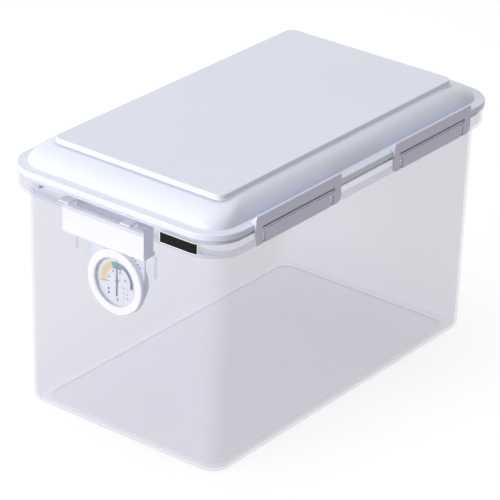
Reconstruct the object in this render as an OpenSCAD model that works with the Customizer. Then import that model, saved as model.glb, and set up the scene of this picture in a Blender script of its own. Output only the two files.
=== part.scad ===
// Clear storage desiccator: a moulded tub with a lift-off domed lid, four swing latches,
// a hanging desiccant case and a dial hygrometer on its hanger plate.
// Millimetres. Z is up, Y runs along the long sides, and the gauge is at the -Y end.

/* [Overall] */
// Width of the lid over its lip
lid_w = 276; // [266:1:292]
// Length of the lid over its lip
lid_l = 467; // [440:1:500]
// Corner radius of the lid's lip
lid_corner_r = 38.5; // [36:0.5:44]
// Height of the parting line between tub and lid
part_z = 260; // [245:1:280]

/* [Tub] */
// Thickness of the tub's walls
wall = 2.8; // [2.2:0.1:3.4]
// Thickness of the tub's floor
floor_t = 3; // [2.4:0.1:4]
// How far the lid's lip stands out past the collar
lip_overhang = 1; // [0.6:0.1:1.4]
// Open line between the brim and the lid, which the seal fills
brim_gap = 0.5; // [0.3:0.1:0.8]
// Height of the collar
collar_h = 19.5; // [18.5:0.5:22]
// Thickness of the collar's brim
brim_t = 2.8; // [2.6:0.1:3.4]
// Radius of the collar's lower edge
collar_edge_r = 3.5; // [2:0.5:3.5]
// Thickness of the shelf inside the collar
shelf_t = 3; // [2:0.5:4]
// Step out from the wall to the collar at the long sides
shelf_side = 7.25; // [6.5:0.25:10]
// Step out from the wall to the collar at the ends
shelf_end = 16.3; // [14:0.1:20]
// Corner radius of the wall under the collar
wall_top_r = 25; // [22:0.5:30]
// Corner radius of the wall at the base
wall_base_r = 22; // [18:0.5:28]
// Lean of each long wall over its height
draft_side = 4.45; // [2:0.05:6]
// Lean of each end wall over its height
draft_end = 0.7; // [0.2:0.1:3]
// Radius of the tub's bottom edge
base_edge_r = 7.4; // [6:0.1:9]
// Width of the foot rim under the floor
foot_w = 8; // [5:0.5:12]
// Height of the foot rim
foot_h = 1.2; // [0.6:0.1:1.4]
// Height of the bead round the brim
bead_h = 2.4; // [2:0.1:3]
// How far the bead stands out
bead_out = 0.8; // [0.4:0.1:0.9]
// Distance from the gauge to the short rib on its left
left_rib_gap = 13; // [8:0.5:20]
// Length of the left rib
left_rib_l = 13; // [8:0.5:20]
// Distance from the gauge to the longer rib on its right
right_rib_gap = 17; // [8:0.5:24]
// Length of the right rib
right_rib_l = 24; // [12:0.5:30]
// Height of the ribs' lower ends above the gauge's middle
rib_rise = 21.5; // [15:0.5:25]
// Thickness of the two ribs on the front wall
rib_t = 1.6; // [1:0.2:2.4]
// Depth of the ribs
rib_d = 2.6; // [1.5:0.1:4]

/* [Label] */
// Length of the label measured along the flat of the collar
label_w = 45.5; // [30:0.5:60]
// Height of the label
label_h = 12; // [8:0.5:12]
// Distance from the right side of the collar to the label
label_side = 27; // [10:0.5:40]
// Gap between the label and the bead above it
label_drop = 1.6; // [0.6:0.1:2]
// Thickness of the label
label_t = 0.3; // [0.2:0.05:0.5]

/* [Lid] */
// Thickness of the lid's dome and plateau
lid_wall = 2.6; // [2:0.1:3]
// Height of the lip
lip_h = 6.4; // [6:0.1:8]
// Radius of the lip's top edge
lip_edge_r = 1.5; // [0.5:0.1:2]
// Width of the flat ledge round the dome
ledge_w = 11.6; // [11:0.1:14]
// Height of the dome's shoulder above the ledge
dome_h = 17.9; // [14:0.1:24]
// Reach of the shoulder's curve at the long sides
dome_curve_side = 10.5; // [6:0.5:14]
// Reach of the shoulder's curve at the ends
dome_curve_end = 24; // [14:0.5:26]
// Corner radius of the dome's foot
dome_corner_r = 26; // [22:0.5:32]
// Distance from the dome's foot to the plateau at the long sides
plateau_side = 19.9; // [16:0.1:30]
// Distance from the dome's foot to the plateau at the ends
plateau_end = 29; // [27:0.5:40]
// Height of the raised plateau
plateau_h = 4.9; // [3:0.1:7]
// Corner radius of the plateau
plateau_r = 10; // [6:0.5:16]
// Rounding of the plateau's top edge
plateau_edge_r = 0.8; // [0.4:0.1:1.2]
// Depth of the fine groove at the dome's foot
line_depth = 0.5; // [0.3:0.1:0.8]
// Thickness of the locating skirt
skirt_t = 2; // [1.4:0.1:2.4]
// Drop of the locating skirt below the parting line
skirt_drop = 6; // [3:0.5:9]
// Gap between the skirt and the tub's brim
skirt_gap = 0.8; // [0.4:0.1:1]
// Depth of the cored channel beside the skirt
channel_depth = 2; // [1:0.1:2.4]
// Distance from the cored channel to the dome's foot
channel_inset = 1; // [0.6:0.1:2]
// Width of the seal
seal_w = 2; // [1.6:0.1:2.2]
// Height of the seal above the brim
seal_h = 2.6; // [2:0.1:2.8]
// Gap between the seal and its groove
seal_gap = 0.1; // [0.05:0.05:0.2]

/* [Latches] */
// Length of a latch
latch_l = 135; // [110:1:150]
// Distance between the middles of two latches on one side
latch_pitch = 224; // [200:1:240]
// Shift of the pair along the side
latch_shift = 2.5; // [0:0.5:6]
// Thickness of the latch plate
plate_t = 2; // [1.6:0.1:2.6]
// Gap between the plate and the lid's lip
plate_gap = 0.3; // [0.2:0.1:0.6]
// Height of the hinge pins below the parting line
pin_drop = 14.8; // [14:0.1:15]
// Distance of the hinge pins from the collar
pin_out = 2; // [1.9:0.1:2.4]
// Radius of the hinge pins
pin_r = 0.9; // [0.8:0.05:1]
// Running gap round the hinge pins
pin_gap = 0.05; // [0.02:0.01:0.09]
// Reach of the plate below the hinge pins
plate_foot = 1.7; // [1.4:0.1:1.7]
// Width of the ears on the collar
ear_w = 4.6; // [3.6:0.1:5]
// Wall of an ear round its pin
ear_wall = 0.85; // [0.7:0.05:1.1]
// Height of an ear above the pin
ear_h = 9.3; // [6:0.1:9.5]
// Width of the notches that clear the ears
notch_w = 5.9; // [5.6:0.1:7]
// Height of the notches above the pin
notch_h = 10.3; // [10:0.1:11]
// Width of the leg at the end near the gauge
near_leg_w = 9.7; // [8:0.1:12]
// Width of the leg at the other end
far_leg_w = 12.3; // [10:0.1:14]
// Rounding of the near leg's foot
near_leg_r = 4.5; // [2:0.5:6]
// Rounding of the far leg's foot
far_leg_r = 8; // [4:0.5:9]
// Rounding of the top corners
latch_corner_r = 4; // [2:0.5:8]
// Distance from the latch's end to its slot
slot_margin = 9.75; // [8:0.25:14]
// Height of the slot
slot_h = 5.2; // [3:0.1:5.6]
// Height of the slot's middle above the pin
slot_z = 15.1; // [13.6:0.1:15.2]
// Reach of the hook in over the lip
hook_reach = 4.5; // [4:0.1:4.8]
// Slope of the hook's underside and of the lip's chamfer that it grips
hook_slope = 45; // [42:1:46]
// Thickness of the hook at its tip
hook_tip = 2.2; // [1.6:0.1:2.8]
// Height of the latch's top edge above the pins
latch_h = 29.7; // [27:0.1:32]
// Rounding of the latch's top edge
latch_edge_r = 0.5; // [0.3:0.1:0.8]
// Gap between the hook and the chamfer that it grips
hook_gap = 0.3; // [0.2:0.05:0.3]
// Gap between the latch's ends and the lid's pocket
pocket_gap = 1; // [0.5:0.1:1.5]
// Angle by which the two left latches hang open
left_swing = 178; // [0:1:178]

/* [Desiccant case] */
// Width of the case
case_w = 104; // [80:1:120]
// Height of the case
case_h = 33; // [28:0.5:40]
// Depth of the tray
tray_d = 12; // [10:0.5:16]
// Depth of the vented cover
cover_d = 5; // [5:0.5:8]
// Wall thickness of the case
case_wall = 1.6; // [1.2:0.1:2]
// Corner radius of the case
case_corner_r = 2; // [1:0.5:4]
// Distance from the middle of the tub to the middle of the case
case_x = -23; // [-30:1:0]
// Drop of the case's top below the shelf
case_drop = 5.7; // [4:0.1:12]
// Gap between the case and the wall
case_gap = 0.2; // [0.1:0.1:0.5]
// Width of the two hanging hooks
strap_w = 12; // [8:1:20]
// Thickness of the hanging hooks
strap_t = 1.8; // [1.2:0.1:2.4]
// Distance between the middles of the hooks
strap_pitch = 78; // [50:1:80]
// Reach of the hooks over the shelf
strap_reach = 12.9; // [8:0.1:13]
// Radius of the cover's hinge pins
cover_pin_r = 1.2; // [0.9:0.1:1.4]
// Running gap round the cover's hinge pins
cover_pin_gap = 0.05; // [0.02:0.01:0.09]
// Thickness of the hinge lugs
lug_t = 2; // [1.4:0.1:3]
// Gap between the cover and the tray or its lugs
cover_gap = 0.3; // [0.2:0.1:0.5]
// Number of vents in the cover
vent_count = 13; // [5:1:15]
// Width of a vent
vent_w = 2.4; // [1.6:0.1:3]
// Distance between vents
vent_pitch = 6.4; // [5:0.1:7]
// Room that the two pouches leave beside each other and the case's ends
pouch_gap = 3; // [1:0.5:6]
// Height of a silica-gel pouch
pouch_h = 27; // [18:1:28]
// Thickness of a silica-gel pouch
pouch_t = 5.5; // [3:0.5:6]

/* [Hygrometer] */
// Distance from the middle of the tub to the middle of the gauge
gauge_x = -8.5; // [-16:0.5:0]
// Height of the gauge's middle below the case
gauge_drop = 35.9; // [35.5:0.1:50]
// Radius of the bezel
bezel_r = 35; // [32:0.5:35]
// Height of the bezel in front of its plate
bezel_h = 4.4; // [3.6:0.1:6]
// Radius of the bezel's window
window_r = 25.75; // [22:0.25:26]
// Thickness of the clear window
lens_t = 1.2; // [0.8:0.1:1.4]
// Thickness of the hanger plate
hanger_t = 2; // [1.6:0.1:3]
// Depth of the flange along the hanger plate's top
hanger_flange = 7.4; // [6.6:0.1:7.6]
// Radius of the four small holes in the hanger plate
dot_r = 1.1; // [0.6:0.1:1.3]
// Outer radius of the gauge's housing
housing_r = 29; // [28:0.25:30]
// Depth of the gauge's housing
housing_d = 14; // [12:0.5:20]
// Wall thickness of the housing
housing_wall = 1.6; // [1.2:0.1:2]
// Thickness of the dial
dial_t = 0.6; // [0.4:0.1:1]
// Depth of the dial behind the hanger plate's face
dial_sink = 0.3; // [0.2:0.1:1]
// Length of the pointer's tip
pointer_tip = 17; // [12:0.5:22]
// Length of the pointer's tail
pointer_tail = 16; // [6:0.5:20]
// Thickness of the pointer
pointer_t = 0.5; // [0.3:0.1:0.6]
// Half the width of the pointer
pointer_half_w = 0.7; // [0.4:0.05:1]
// Radius of the arbor
arbor_r = 0.8; // [0.6:0.1:1.2]
// Running gap round the arbor
arbor_gap = 0.05; // [0.02:0.01:0.09]
// Number of turns in the humidity coil
coil_turns = 3; // [2:1:4]
// Thickness of the coil's strip
coil_t = 0.4; // [0.3:0.1:0.6]
// Width of the coil's strip
coil_w = 3; // [2:0.5:4]
// Width of the bridge that carries the arbor
bridge_w = 6; // [5:0.5:10]
// Thickness of the bridge
bridge_t = 1; // [0.8:0.1:1.6]
// Half the distance between the bridge's screws
bridge_reach = 16; // [12:0.5:20]
// Radius of the bridge's screws
screw_r = 1; // [0.8:0.1:1.4]
// Length of the bridge's screws under their heads
screw_l = 3.6; // [3:0.1:4]
// Number of vents in the housing's back
back_vents = 6; // [4:1:8]
// Radius of those vents
back_vent_r = 2; // [1:0.1:2.5]

/* [Hidden] */

$fn = 64;
corner_steps = 8;
past = 1;

// Tub heights and outlines
brim_z = part_z - brim_gap;
collar_z = brim_z - collar_h;
shelf_z = collar_z + shelf_t;
collar_w = lid_w - 2 * lip_overhang;
collar_l = lid_l - 2 * lip_overhang;
mouth_inset = lip_overhang + brim_t;
wall_top_w = collar_w - 2 * shelf_side;
wall_top_l = collar_l - 2 * shelf_end;

// Lid heights and outlines
ledge_z = part_z + lip_h;
plateau_z = ledge_z + dome_h;
dome_w = lid_w - 2 * ledge_w;
dome_l = lid_l - 2 * ledge_w;
plateau_w = dome_w - 2 * plateau_side;
plateau_l = dome_l - 2 * plateau_end;
grip_w = hook_reach + hook_gap;
skirt_inset = max(mouth_inset + skirt_gap, grip_w);
seal_inset = mouth_inset - 2 * seal_gap;
seal_lip_z = brim_z + seal_h + seal_gap;
lip_bottom_edge = 0.4;
plateau_draft = 0.4;

// Latch sizes, measured from the pin line
pin_x = collar_w / 2 + pin_out;
pin_z = part_z - pin_drop;
plate_in = lid_w / 2 + plate_gap - pin_x;
plate_out = plate_in + plate_t;
hook_x = lid_w / 2 - hook_reach - pin_x;
grip_in = lid_w / 2 - grip_w - pin_x;
grip_out = lid_w / 2 - pin_x;
plate_edge_r = 0.6;
ear_r = pin_r + pin_gap + ear_wall;
ear_mouth = 1.5 * pin_r;
pin_bite = 0.5;
near_end = -latch_l / 2;
far_end = latch_l / 2;
near_notch = near_end + near_leg_w + notch_w / 2;
far_notch = far_end - far_leg_w - notch_w / 2;

// Case places
case_z = shelf_z - case_drop - case_h;
case_y = -(inner_half_l(case_z) - case_gap);
tray_back = case_y + tray_d;
cover_y = tray_back + cover_gap;
cover_w = case_w - 2 * (lug_t + cover_gap);
cover_pin_y = cover_y + cover_d / 2;
cover_pin_z = case_z + cover_d / 2;
lug_h = cover_d;
pouch_w = case_w / 2 - lug_t - pouch_gap;
pouch_y = case_y + case_wall + cover_gap;
pouch_corner_r = 5;
tab_w = 8;
tab_t = 1.6;
tab_gap = 0.1;
tab_rise = 1.4;
tab_pitch = 40;
tab_y = tray_back - case_wall - tab_t / 2;

// Gauge places
gauge_z = case_z - gauge_drop;
plate_y = -(inner_half_l(gauge_z - bezel_r) - case_gap) + bezel_h;
housing_gap = 0.2;
dial_r = housing_r - housing_wall - housing_gap / 2;
dial_back = dial_sink + dial_t;
lens_z = bezel_h - 1.2 - lens_t;
lens_lap = 1.4;
bezel_crown_r = 2;
bezel_lip_r = 1;
pointer_z = 0.1;
hub_r = arbor_r + 0.9;
dial_hole_r = arbor_r + 0.5;
dial_seat = 1.6;
coil_room = 1;
coil_lift = 0.6;
bridge_z = -dial_back - coil_w - 2 * coil_room - bridge_t;
coil_z = bridge_z + bridge_t + coil_lift;
coil_start = arbor_r + 1;
coil_pitch = 2.2;
arbor_end = 0.4;
post_r = screw_r + 1;
screw_head_r = 1.8 * screw_r;
screw_head_h = 0.8;
dot_ring = bezel_r + 2.5;
dot_first = 39;
dot_step = 6.4;

// Half width of the tub's outside at a height
function half_w(z) = wall_top_w / 2 - draft_side * (1 - z / collar_z);
// Half length of the tub's outside at a height
function half_l(z) = wall_top_l / 2 - draft_end * (1 - z / collar_z);
// Half length of the tub's inside at a height
function inner_half_l(z) = half_l(z) - wall;
// Corner radius of the wall at a height
function wall_r(z) = wall_top_r - (wall_top_r - wall_base_r) * (1 - z / collar_z);
// Height of the lip's chamfer above the pin line, at a distance from the pins
function chamfer_z(x) = pin_drop + lip_h - (x - grip_in) * tan(hook_slope);
// Height of the hook's underside above the pin line
function hook_z(x) = chamfer_z(x) + hook_gap / cos(hook_slope);
// Points along an arc
function arc(x, y, r, from, to, steps = 6) =
    [for (i = [0 : steps]) let (a = from + (to - from) * i / steps) [x + r * cos(a), y + r * sin(a)]];

module round_rect(w, l, r) {
    square([w - 2 * r, l], center = true);
    square([w, l - 2 * r], center = true);
    for (sx = [-1, 1], sy = [-1, 1])
        translate([sx * (w / 2 - r), sy * (l / 2 - r)])
            circle(r);
}

// Points round a rounded rectangle
function outline(w, l, r) =
    [for (quarter = [0 : 3])
        let (sx = quarter == 0 || quarter == 3 ? 1 : -1, sy = quarter < 2 ? 1 : -1)
            each arc(sx * (w / 2 - r), sy * (l / 2 - r), r, 90 * quarter, 90 * (quarter + 1), corner_steps)];

// Lofts rounded rectangles, given as [height, width, length, corner radius] from the bottom up
module loft(stations) {
    n = 4 * (corner_steps + 1);
    last = len(stations) - 1;
    function side(k, i, j) = [[k * n + i, (k + 1) * n + i, (k + 1) * n + j], [k * n + i, (k + 1) * n + j, k * n + j]];
    polyhedron(
        points = [for (s = stations) each [for (p = outline(s[1], s[2], s[3])) [p[0], p[1], s[0]]]],
        faces = concat(
            [[for (i = [0 : n - 1]) i]],
            [for (k = [0 : last - 1], i = [0 : n - 1]) each side(k, i, (i + 1) % n)],
            [[for (i = [n - 1 : -1 : 0]) last * n + i]]
        )
    );
}

// The lid's outline moved in by an inset
module lid_plan(inset) {
    round_rect(lid_w - 2 * inset, lid_l - 2 * inset, lid_corner_r - inset);
}

// A ring between two insets of the lid's outline
module lid_ring(outer, inner, low, high) {
    translate([0, 0, low])
        linear_extrude(high - low)
            difference() {
                lid_plan(outer);
                lid_plan(inner);
            }
}

// A block with a rounded plan whose edge follows a profile of [inset, height] points
module edged_block(w, l, r, profile) {
    cx = w / 2 - r;
    cy = l / 2 - r;
    low = profile[0][1];
    high = profile[len(profile) - 1][1];
    function rim(c) = [for (p = profile) [c + r - p[0], p[1]]];
    function mirrored(c) = [for (i = [len(profile) - 1 : -1 : 0]) [-(c + r - profile[i][0]), profile[i][1]]];
    for (quarter = [0 : 3]) {
        sx = quarter == 0 || quarter == 3 ? 1 : -1;
        sy = quarter < 2 ? 1 : -1;
        translate([sx * cx, sy * cy, 0])
            rotate(90 * quarter)
                rotate_extrude(angle = 90)
                    polygon(concat([[0, low]], rim(0), [[0, high]]));
    }
    translate([0, cy, 0])
        rotate([90, 0, 0])
            linear_extrude(2 * cy)
                polygon(concat(rim(cx), mirrored(cx)));
    translate([-cx, 0, 0])
        rotate([90, 0, 90])
            linear_extrude(2 * cx)
                polygon(concat(rim(cy), mirrored(cy)));
}

// The tub's wall form, moved in by an inset, from one height to another
module wall_form(inset, low, edge_r, high) {
    function station(z, in) = [z, 2 * (half_w(z) - in), 2 * (half_l(z) - in), wall_r(z) - in];
    loft(concat(
        [for (a = [0 : 15 : 90]) station(low + edge_r * (1 - cos(a)), inset + edge_r * (1 - sin(a)))],
        [station(high, inset)]
    ));
}

module collar_block() {
    bead_z = collar_h - bead_h;
    edge = 0.4;
    lower_edge = [for (a = [0 : 15 : 90]) [collar_edge_r * (1 - sin(a)), collar_edge_r * (1 - cos(a))]];
    bead = [[0, bead_z], [-bead_out, bead_z + edge], [-bead_out, collar_h - edge], [edge - bead_out, collar_h]];
    translate([0, 0, collar_z])
        edged_block(collar_w, collar_l, lid_corner_r - lip_overhang, concat(lower_edge, bead));
}

// Snap-in ear for a latch pin, on the collar
module ear() {
    root = -pin_out - collar_edge_r / 2;
    translate([0, ear_w / 2, 0])
        rotate([90, 0, 0])
            linear_extrude(ear_w)
                difference() {
                    union() {
                        circle(ear_r);
                        polygon([
                            [root, -ear_r], [0, -ear_r], [ear_r, 0], [0.7 * ear_r, 0.7 * ear_r + 1],
                            [ear_r - pin_out, ear_h], [root, ear_h]
                        ]);
                    }
                    circle(pin_r + pin_gap);
                    translate([-ear_mouth / 2, -2 * ear_r])
                        square([ear_mouth, 2 * ear_r]);
                }
}

// Places its children at the pin line of a latch; the left side is the right one turned round
module at_latch(side, end) {
    rotate(side > 0 ? 0 : 180)
        translate([pin_x, side * end * latch_pitch / 2 - latch_shift, pin_z])
            children();
}

module each_latch() {
    for (side = [-1, 1], end = [-1, 1])
        at_latch(side, end)
            children();
}

// Short upright rib on the inside of the front wall
module front_rib(x, length) {
    low = gauge_z + rib_rise;
    translate([x - rib_t / 2, -inner_half_l(low) - wall / 2, low])
        cube([rib_t, wall / 2 + rib_d, length]);
}

module body_tub() {
    foot_inset = base_edge_r + foot_w;
    color("lightcyan", 0.5)
        difference() {
            union() {
                wall_form(0, 0, base_edge_r, shelf_z);
                collar_block();
                each_latch() {
                    translate([0, near_notch, 0]) ear();
                    translate([0, far_notch, 0]) ear();
                }
            }
            difference() {
                wall_form(wall, floor_t, base_edge_r - wall, shelf_z + past);
                front_rib(gauge_x - bezel_r - left_rib_gap, left_rib_l);
                front_rib(gauge_x + bezel_r + right_rib_gap, right_rib_l);
            }
            translate([0, 0, shelf_z])
                linear_extrude(collar_h)
                    lid_plan(mouth_inset);
            translate([0, 0, -past])
                linear_extrude(past + foot_h)
                    round_rect(2 * (half_w(0) - foot_inset), 2 * (half_l(0) - foot_inset),
                               wall_base_r - base_edge_r);
        }
}

module front_label() {
    label_x = collar_w / 2 - label_side - label_w;
    label_z = brim_z - bead_h - label_drop - label_h;
    color("black")
        intersection() {
            lid_ring(lip_overhang - label_t, lip_overhang, label_z, label_z + label_h);
            translate([label_x, -lid_l, 0])
                cube([label_w, lid_l, part_z]);
        }
}

// The lid's dome, moved in by an inset and down by a drop, from its foot up
module dome_form(inset, drop, foot_z) {
    function station(z, a) = let (in = inset + dome_curve_side * (1 - cos(a)))
        [z, dome_w - 2 * in, dome_l - 2 * (inset + dome_curve_end * (1 - cos(a))), dome_corner_r - in];
    loft(concat(
        [station(foot_z, 0)],
        [for (a = [0 : 15 : 90]) station(ledge_z + dome_h * sin(a) - drop, a)]
    ));
}

// Extrudes a side view along the pin line, over a latch's pocket
module along_pocket() {
    translate([0, far_end + pocket_gap, 0])
        rotate([90, 0, 0])
            linear_extrude(latch_l + 2 * pocket_gap)
                children();
}

// The hollow dome with its raised plateau
module lid_dome() {
    rim = concat([[0, -past], [0, 0], [plateau_draft, plateau_h - plateau_edge_r]],
                 [for (a = [15 : 15 : 90]) [plateau_draft + plateau_edge_r * (1 - cos(a)),
                                            plateau_h - plateau_edge_r * (1 - sin(a))]]);
    difference() {
        dome_form(0, 0, part_z + past);
        dome_form(lid_wall, lid_wall, part_z - past);
        translate([0, 0, plateau_z - lid_wall - past])
            linear_extrude(plateau_h)
                round_rect(plateau_w - 2 * lid_wall, plateau_l - 2 * lid_wall, plateau_r - lid_wall);
    }
    difference() {
        translate([0, 0, plateau_z])
            edged_block(plateau_w, plateau_l, plateau_r, rim);
        translate([0, 0, plateau_z - 2 * past])
            linear_extrude(plateau_h - lid_wall + 2 * past)
                round_rect(plateau_w - 2 * lid_wall, plateau_l - 2 * lid_wall, plateau_r - lid_wall);
    }
}

// The flat ledge round the dome, as far as the lip
module lid_ledge() {
    difference() {
        translate([0, 0, part_z])
            linear_extrude(lip_h)
                lid_plan(grip_w);
        translate([0, 0, ledge_z - line_depth])
            linear_extrude(past)
                round_rect(dome_w + 2 * line_depth, dome_l + 2 * line_depth, dome_corner_r + line_depth);
        translate([0, 0, part_z - past])
            linear_extrude(lip_h + 2 * past)
                round_rect(dome_w - lid_wall, dome_l - lid_wall, dome_corner_r - lid_wall / 2);
    }
}

module lid_shell() {
    color("white")
        difference() {
            union() {
                lid_ledge();
                lid_dome();
                lid_ring(skirt_inset, skirt_inset + skirt_t, part_z - skirt_drop, part_z + past);
            }
            lid_ring(skirt_inset + skirt_t, ledge_w - channel_inset, part_z - past, part_z + channel_depth);
        }
}

module seal_groove() {
    lid_ring(seal_inset - seal_w - seal_gap, seal_inset + seal_gap, part_z - past, seal_lip_z);
}

// The rounded lip round the ledge, between the latches
module lid_lip() {
    lip = concat([[lip_bottom_edge, 0], [0, lip_bottom_edge]],
                 [for (a = [0 : 15 : 90]) [lip_edge_r * (1 - cos(a)), lip_h - lip_edge_r * (1 - sin(a))]]);
    color("white")
        difference() {
            translate([0, 0, part_z])
                edged_block(lid_w, lid_l, lid_corner_r, lip);
            translate([0, 0, part_z - past])
                linear_extrude(lip_h + 2 * past)
                    lid_plan(grip_w);
            seal_groove();
            each_latch()
                along_pocket()
                    translate([grip_in - past, 0])
                        square([grip_w + 2 * past, latch_h]);
        }
}

// The chamfered strips that the hooks grip
module lid_keepers() {
    color("white")
        difference() {
            each_latch()
                along_pocket()
                    polygon([
                        [grip_in, pin_drop], [grip_out - lip_bottom_edge, pin_drop],
                        [grip_out, pin_drop + lip_bottom_edge], [grip_out, chamfer_z(grip_out)],
                        [grip_in, pin_drop + lip_h]
                    ]);
            seal_groove();
        }
}

module lid_seal() {
    color("gray")
        lid_ring(seal_inset - seal_w, seal_inset, brim_z, brim_z + seal_h);
}

// Side profile of a latch: plate, rounded foot and hook with its sloped back
module latch_profile() {
    tip_z = hook_z(hook_x) + hook_tip;
    slope = atan2(latch_h - tip_z, plate_out - hook_x);
    crown_z = latch_h - latch_edge_r * tan(45 + slope / 2);
    polygon(concat(
        [[plate_in, -plate_foot]],
        arc(plate_out - plate_edge_r, plate_edge_r - plate_foot, plate_edge_r, -90, 0),
        arc(plate_out - latch_edge_r, crown_z, latch_edge_r, 0, 90 + slope),
        [[hook_x, tip_z], [hook_x, hook_z(hook_x)], [plate_in, hook_z(plate_in)]]
    ));
}

// Front outline of a latch, with its near end to the left
module latch_outline() {
    polygon(concat(
        arc(near_end + near_leg_r, near_leg_r - plate_foot, near_leg_r, 180, 270),
        arc(far_end - far_leg_r, far_leg_r - plate_foot, far_leg_r, 270, 360),
        arc(far_end - latch_corner_r, latch_h - latch_corner_r, latch_corner_r, 0, 90),
        arc(near_end + latch_corner_r, latch_h - latch_corner_r, latch_corner_r, 90, 180)
    ));
}

// A notch that clears an ear, open at the bottom and arched at the top
module notch(y) {
    translate([y - notch_w / 2, -2 * plate_foot])
        square([notch_w, 2 * plate_foot + notch_h - notch_w / 2]);
    translate([y, notch_h - notch_w / 2])
        circle(notch_w / 2);
}

module latch_cuts() {
    slot_r = slot_h / 2;
    slot_near = near_end + slot_margin + slot_r;
    slot_far = far_end - slot_margin - slot_r;
    notch(near_notch);
    notch(far_notch);
    translate([slot_near, slot_z - slot_r])
        square([slot_far - slot_near, slot_h]);
    for (y = [slot_near, slot_far])
        translate([y, slot_z])
            circle(slot_r);
}

module latch(side, end) {
    reach = plate_out - hook_x + 2 * past;
    color("gainsboro")
        at_latch(side, end) rotate([0, side > 0 ? 0 : left_swing, 0]) {
            difference() {
                intersection() {
                    translate([0, far_end + past, 0])
                        rotate([90, 0, 0])
                            linear_extrude(latch_l + 2 * past)
                                latch_profile();
                    translate([hook_x - past, 0, 0])
                        rotate([90, 0, 90])
                            linear_extrude(reach)
                                latch_outline();
                }
                translate([hook_x - past, 0, 0])
                    rotate([90, 0, 90])
                        linear_extrude(reach)
                            latch_cuts();
            }
            for (y = [near_notch, far_notch])
                translate([0, y + notch_w / 2 + pin_bite, 0])
                    rotate([90, 0, 0])
                        cylinder(r = pin_r, h = notch_w + 2 * pin_bite);
        }
}

module latch_front_right() latch(1, -1);
module latch_rear_right() latch(1, 1);
module latch_front_left() latch(-1, -1);
module latch_rear_left() latch(-1, 1);

// Extrudes a front view of the case, from one depth to another
module case_slice(near, far) {
    translate([case_x, far, case_z + case_h / 2])
        rotate([90, 0, 0])
            linear_extrude(far - near)
                children();
}

module each_strap() {
    for (s = [-1, 1])
        translate([case_x + s * strap_pitch / 2 - strap_w / 2, 0, 0])
            children();
}

module each_tab() {
    for (s = [-1, 1])
        translate([gauge_x + s * tab_pitch / 2, tab_y, case_z])
            children();
}

module case_tray() {
    lug_x = case_w / 2 - lug_t;
    color("white")
        difference() {
            union() {
                case_slice(case_y, tray_back)
                    round_rect(case_w, case_h, case_corner_r);
                each_strap() {
                    translate([0, case_y, case_z + case_h / 2])
                        cube([strap_w, strap_t, case_h / 2 + case_drop + strap_t]);
                    translate([0, case_y - strap_reach, shelf_z])
                        cube([strap_w, strap_reach + strap_t, strap_t]);
                }
                for (s = [-1, 1])
                    translate([case_x + s * (lug_x + lug_t / 2), 0, 0])
                        rotate([90, 0, 90])
                            translate([0, 0, -lug_t / 2])
                                linear_extrude(lug_t) {
                                    translate([tray_back - case_wall, cover_pin_z - lug_h / 2])
                                        square([cover_pin_y - tray_back + case_wall, lug_h]);
                                    translate([cover_pin_y, cover_pin_z])
                                        circle(lug_h / 2);
                                }
            }
            case_slice(case_y + case_wall, tray_back + past)
                round_rect(case_w - 2 * lug_t, case_h - 2 * case_wall, case_corner_r / 2);
            translate([case_x - case_w, cover_pin_y, cover_pin_z])
                rotate([0, 90, 0])
                    cylinder(r = cover_pin_r + cover_pin_gap, h = 2 * case_w);
            each_tab()
                translate([-tab_w / 2 - tab_gap, -tab_t / 2 - tab_gap, -past])
                    cube([tab_w + 2 * tab_gap, tab_t + 2 * tab_gap, case_wall + 2 * past]);
        }
}

module case_cover() {
    vent_h = case_h / 2;
    top_z = case_z + case_h;
    rim = case_wall;
    pin_l = lug_t + cover_gap;
    color("white") {
        difference() {
            union() {
                translate([case_x - cover_w / 2, cover_y, cover_pin_z])
                    cube([cover_w, cover_d, top_z - cover_pin_z]);
                translate([case_x - cover_w / 2, cover_pin_y, cover_pin_z])
                    rotate([0, 90, 0])
                        cylinder(r = cover_d / 2, h = cover_w);
                translate([case_x - strap_w / 2, cover_y + cover_d - case_wall, top_z - 2 * case_wall])
                    cube([strap_w, 2 * case_wall, case_wall]);
            }
            translate([case_x - cover_w / 2 + rim, cover_y - past, cover_pin_z + cover_d / 2])
                cube([cover_w - 2 * rim, cover_d - case_wall + past, case_h - cover_d - rim]);
            for (i = [0 : vent_count - 1])
                translate([case_x + (i - (vent_count - 1) / 2) * vent_pitch, cover_y + cover_d + past,
                           case_z + case_h / 2])
                    rotate([90, 0, 0])
                        linear_extrude(case_wall + 2 * past) {
                            square([vent_w, vent_h - vent_w], center = true);
                            for (s = [-1, 1])
                                translate([0, s * (vent_h - vent_w) / 2])
                                    circle(vent_w / 2, $fn = 24);
                        }
        }
        for (s = [-1, 1])
            translate([case_x + s * (cover_w + pin_l) / 2, cover_pin_y, cover_pin_z])
                rotate([0, 90, 0])
                    cylinder(r = cover_pin_r, h = pin_l, center = true);
    }
}

module silica_pouches() {
    spread = (case_w - 2 * lug_t) / 4;
    color("ghostwhite")
        for (s = [-1, 1])
            translate([case_x + s * spread, pouch_y + pouch_t, case_z + case_wall + cover_gap + pouch_h / 2])
                rotate([90, 0, 0])
                    linear_extrude(pouch_t)
                        round_rect(pouch_w, pouch_h, pouch_corner_r);
}

// Places its children on the hanger plate's face, at the gauge's middle, facing out
module at_gauge() {
    translate([gauge_x, plate_y, gauge_z])
        rotate([90, 0, 0])
            children();
}

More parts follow.
